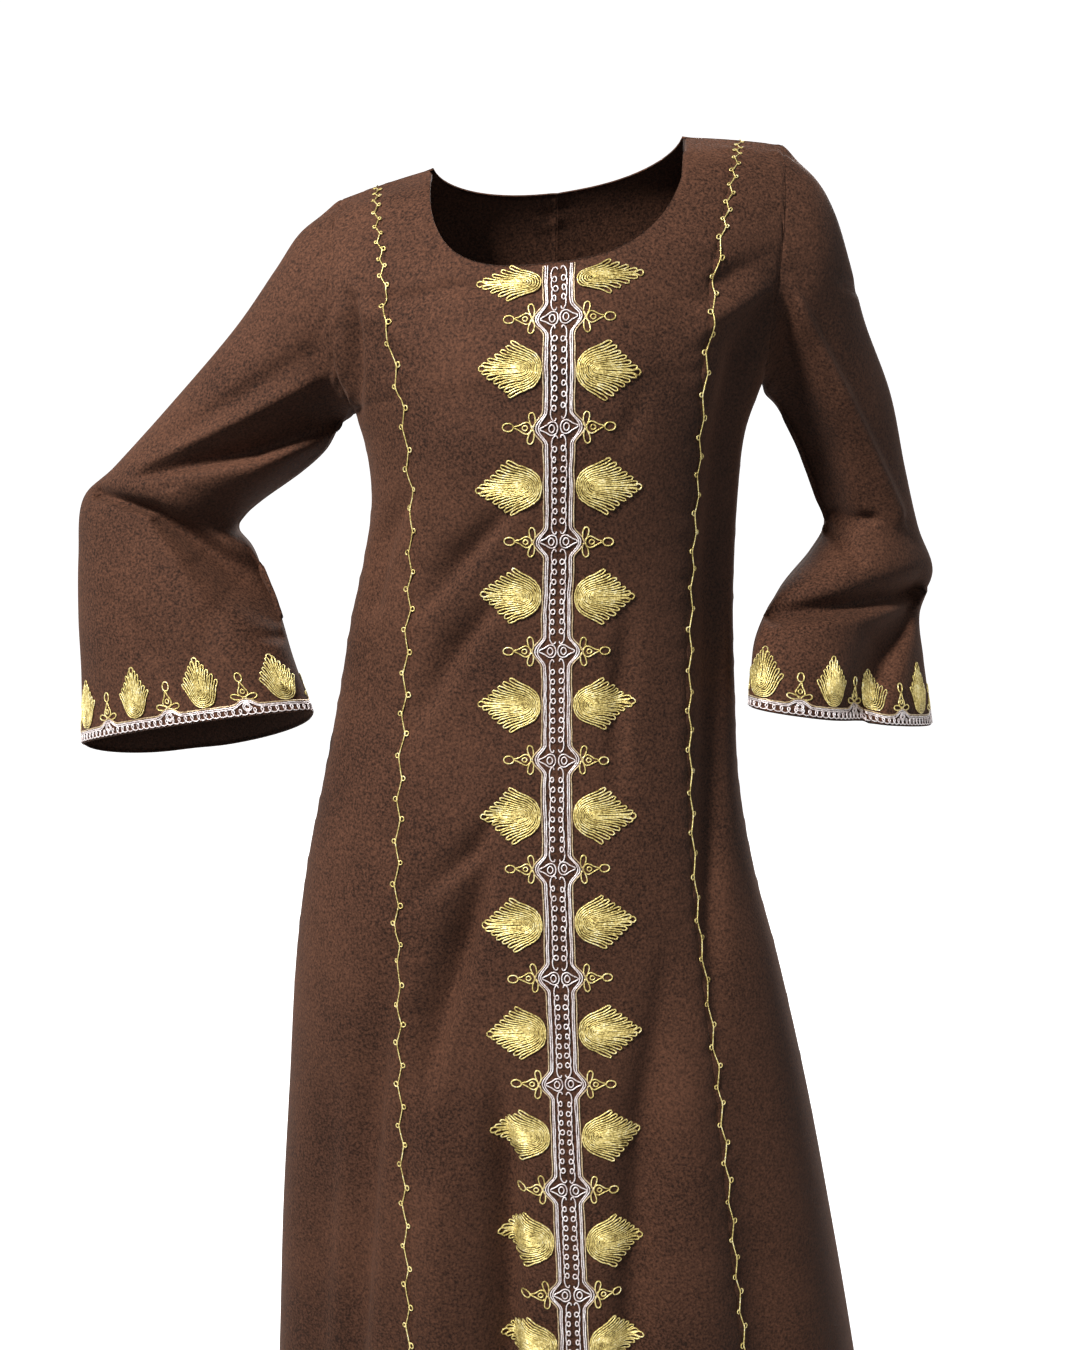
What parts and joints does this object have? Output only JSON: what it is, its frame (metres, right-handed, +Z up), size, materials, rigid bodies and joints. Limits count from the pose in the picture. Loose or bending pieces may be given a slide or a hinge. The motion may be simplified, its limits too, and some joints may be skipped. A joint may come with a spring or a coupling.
{
  "type": "full-length kaftan dress with bell sleeves and corded braid",
  "caption": "Long A-line kaftan with set-in bell sleeves, a scooped neck, and corded gold leaf braid down the front and round the cuffs.",
  "frame": {"origin": "middle of the neck opening, at the height where the wearer's shoulders carry the cloth", "axes": "+Z up, -Y to the front of the garment, +X to the wearer's left"},
  "size_m": [0.8046, 0.3916, 1.4195],
  "materials": {
    "cloth": "matt pebbled crepe",
    "cord": "metallic gold and silver couched cord"
  },
  "bodies": {
    "root": {"front_centre": "cloth", "front_side_left": "cloth", "front_side_right": "cloth", "back_left": "cloth", "back_right": "cloth", "sleeve_left": "cloth", "sleeve_right": "cloth", "front_braid": "cord", "cuff_braid_left": "cord", "cuff_braid_right": "cord"}
  },
  "joints": []
}
